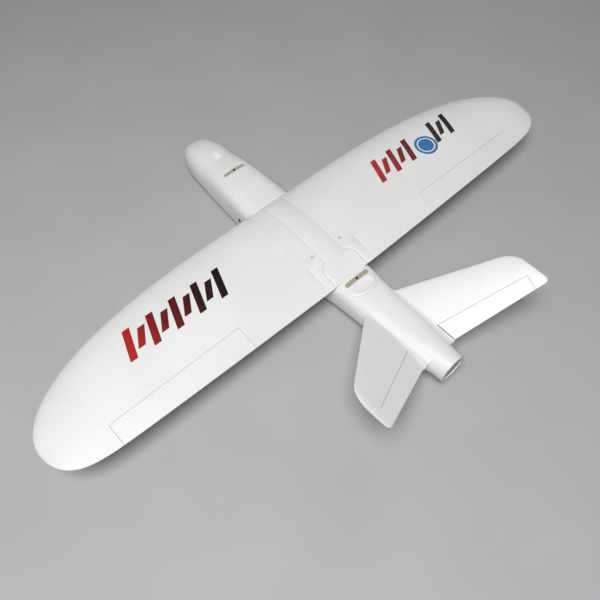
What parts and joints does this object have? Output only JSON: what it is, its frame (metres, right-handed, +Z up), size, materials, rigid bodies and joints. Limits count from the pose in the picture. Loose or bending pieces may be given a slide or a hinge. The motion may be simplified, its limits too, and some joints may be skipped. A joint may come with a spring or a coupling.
{
  "type": "fixed wing drone airframe",
  "caption": "White foam V-tail fixed wing drone with rounded wing tips, lift-off fuselage hatches, hinged control surfaces and an open tail ring for a pusher motor.",
  "frame": {"origin": "middle of the bounding box in plan, at the belly, which stands on Z = 0", "axes": "-Y points to the nose, +Y to the tail, +X to the port wing tip, +Z up"},
  "size_m": [1.7174, 1.0999, 0.224],
  "materials": {
    "foam": "moulded white bead foam with a satin skin and fine bead texture",
    "plywood": "laser-cut birch plywood, bare",
    "carbon": "pultruded carbon tube, semi-gloss",
    "nylon": "moulded natural nylon",
    "servo_case": "moulded dark case, fine satin",
    "steel": "bare spring steel wire",
    "rubber": "moulded black rubber",
    "white_plastic": "moulded white plastic, satin",
    "black_steel": "black oxide steel screw"
  },
  "bodies": {
    "airframe": {"fuselage_upper_shell": "foam", "fuselage_lower_shell": "foam", "front_hatch_seat_plate": "plywood", "rear_hatch_seat_plate": "plywood", "front_former": "plywood", "wing_former": "plywood", "tail_former": "plywood", "equipment_tray": "plywood", "main_spar_tube": "carbon", "rear_spar_tube": "carbon", "spar_rib_port": "plywood", "spar_rib_starboard": "plywood", "motor_mount_plate": "plywood", "cable_grommet_port": "rubber", "cable_grommet_starboard": "rubber", "nose_vent_fairing": "white_plastic", "wing_fixing_screw_port": "nylon", "wing_fixing_screw_starboard": "nylon", "tail_fin_port": "foam", "tail_fin_starboard": "foam", "tail_fin_rod_port": "carbon", "tail_fin_rod_starboard": "carbon", "tail_fin_mount_port": "foam", "tail_fin_mount_starboard": "foam", "ruddervator_servo_port": "servo_case", "ruddervator_servo_starboard": "servo_case"},
    "wing_port": {"wing_panel_port": "foam", "wing_joiner_tongue_port": "plywood", "aileron_servo_port": "servo_case"},
    "aileron_port": {"aileron_port": "foam", "aileron_horn_port": "nylon"},
    "aileron_servo_arm_port": {"aileron_servo_arm_port": "nylon"},
    "aileron_pushrod_port": {"aileron_pushrod_port": "steel"},
    "ruddervator_port": {"ruddervator_port": "foam", "ruddervator_horn_port": "nylon"},
    "ruddervator_servo_arm_port": {"ruddervator_servo_arm_port": "nylon"},
    "ruddervator_pushrod_port": {"ruddervator_pushrod_port": "steel"},
    "wing_starboard": {"wing_panel_starboard": "foam", "wing_joiner_tongue_starboard": "plywood", "aileron_servo_starboard": "servo_case"},
    "aileron_starboard": {"aileron_starboard": "foam", "aileron_horn_starboard": "nylon"},
    "aileron_servo_arm_starboard": {"aileron_servo_arm_starboard": "nylon"},
    "aileron_pushrod_starboard": {"aileron_pushrod_starboard": "steel"},
    "ruddervator_starboard": {"ruddervator_starboard": "foam", "ruddervator_horn_starboard": "nylon"},
    "ruddervator_servo_arm_starboard": {"ruddervator_servo_arm_starboard": "nylon"},
    "ruddervator_pushrod_starboard": {"ruddervator_pushrod_starboard": "steel"},
    "front_hatch": {"front_hatch": "foam", "front_hatch_latch_plate": "plywood", "front_hatch_latch_screw": "black_steel"},
    "rear_hatch": {"rear_hatch": "foam", "rear_hatch_latch_plate": "plywood", "rear_hatch_latch_screw": "black_steel"}
  },
  "joints": [
    {"name": "wing_port_slide", "type": "slide", "parent": "airframe", "child": "wing_port", "axis": [1, 0, 0], "range_m": [0, 0.28]},
    {"name": "aileron_port_hinge", "type": "hinge", "parent": "wing_port", "child": "aileron_port", "pos_m": [0.333, 0.106, 0.13028], "axis": [0.9998, 0.012, 0.0153], "range_deg": [-25, 25]},
    {"name": "aileron_servo_arm_port_pivot", "type": "hinge", "parent": "wing_port", "child": "aileron_servo_arm_port", "pos_m": [0.41118, 0.02693, 0.11606], "axis": [0.9998, 0.012, 0.0153], "range_deg": [-25, 25]},
    {"name": "aileron_pushrod_port_pivot", "type": "hinge", "parent": "aileron_servo_arm_port", "child": "aileron_pushrod_port", "pos_m": [0.41158, 0.02694, 0.09007], "axis": [0.9998, 0.012, 0.0153], "range_deg": [-25, 25]},
    {"name": "ruddervator_port_hinge", "type": "hinge", "parent": "airframe", "child": "ruddervator_port", "pos_m": [0.05525, 0.421, 0.10131], "axis": [0.8299, 0.3361, 0.4453], "range_deg": [-25, 25]},
    {"name": "ruddervator_servo_arm_port_pivot", "type": "hinge", "parent": "airframe", "child": "ruddervator_servo_arm_port", "pos_m": [0.11227, 0.3685, 0.12448], "axis": [0.8299, 0.3361, 0.4453], "range_deg": [-25, 25]},
    {"name": "ruddervator_pushrod_port_pivot", "type": "hinge", "parent": "ruddervator_servo_arm_port", "child": "ruddervator_pushrod_port", "pos_m": [0.12079, 0.36846, 0.10862], "axis": [0.8299, 0.3361, 0.4453], "range_deg": [-25, 25]},
    {"name": "wing_starboard_slide", "type": "slide", "parent": "airframe", "child": "wing_starboard", "axis": [-1, 0, 0], "range_m": [0, 0.28]},
    {"name": "aileron_starboard_hinge", "type": "hinge", "parent": "wing_starboard", "child": "aileron_starboard", "pos_m": [-0.333, 0.106, 0.13028], "axis": [0.9998, -0.012, -0.0153], "range_deg": [-25, 25]},
    {"name": "aileron_servo_arm_starboard_pivot", "type": "hinge", "parent": "wing_starboard", "child": "aileron_servo_arm_starboard", "pos_m": [-0.41118, 0.02693, 0.11606], "axis": [0.9998, -0.012, -0.0153], "range_deg": [-25, 25]},
    {"name": "aileron_pushrod_starboard_pivot", "type": "hinge", "parent": "aileron_servo_arm_starboard", "child": "aileron_pushrod_starboard", "pos_m": [-0.41158, 0.02694, 0.09007], "axis": [0.9998, -0.012, -0.0153], "range_deg": [-25, 25]},
    {"name": "ruddervator_starboard_hinge", "type": "hinge", "parent": "airframe", "child": "ruddervator_starboard", "pos_m": [-0.05525, 0.421, 0.10131], "axis": [0.8299, -0.3361, -0.4453], "range_deg": [-25, 25]},
    {"name": "ruddervator_servo_arm_starboard_pivot", "type": "hinge", "parent": "airframe", "child": "ruddervator_servo_arm_starboard", "pos_m": [-0.11227, 0.3685, 0.12448], "axis": [0.8299, -0.3361, -0.4453], "range_deg": [-25, 25]},
    {"name": "ruddervator_pushrod_starboard_pivot", "type": "hinge", "parent": "ruddervator_servo_arm_starboard", "child": "ruddervator_pushrod_starboard", "pos_m": [-0.12079, 0.36846, 0.10862], "axis": [0.8299, -0.3361, -0.4453], "range_deg": [-25, 25]},
    {"name": "front_hatch_lift", "type": "slide", "parent": "airframe", "child": "front_hatch", "axis": [0, 0, 1], "range_m": [0, 0.06]},
    {"name": "rear_hatch_lift", "type": "slide", "parent": "airframe", "child": "rear_hatch", "axis": [0, 0, 1], "range_m": [0, 0.08]}
  ],
  "couplings": [
    {"joint": "aileron_servo_arm_port_pivot", "follows": "aileron_port_hinge", "ratio": 1},
    {"joint": "aileron_pushrod_port_pivot", "follows": "aileron_port_hinge", "ratio": -1},
    {"joint": "ruddervator_servo_arm_port_pivot", "follows": "ruddervator_port_hinge", "ratio": 1},
    {"joint": "ruddervator_pushrod_port_pivot", "follows": "ruddervator_port_hinge", "ratio": -1},
    {"joint": "aileron_servo_arm_starboard_pivot", "follows": "aileron_starboard_hinge", "ratio": 1},
    {"joint": "aileron_pushrod_starboard_pivot", "follows": "aileron_starboard_hinge", "ratio": -1},
    {"joint": "ruddervator_servo_arm_starboard_pivot", "follows": "ruddervator_starboard_hinge", "ratio": 1},
    {"joint": "ruddervator_pushrod_starboard_pivot", "follows": "ruddervator_starboard_hinge", "ratio": -1}
  ]
}
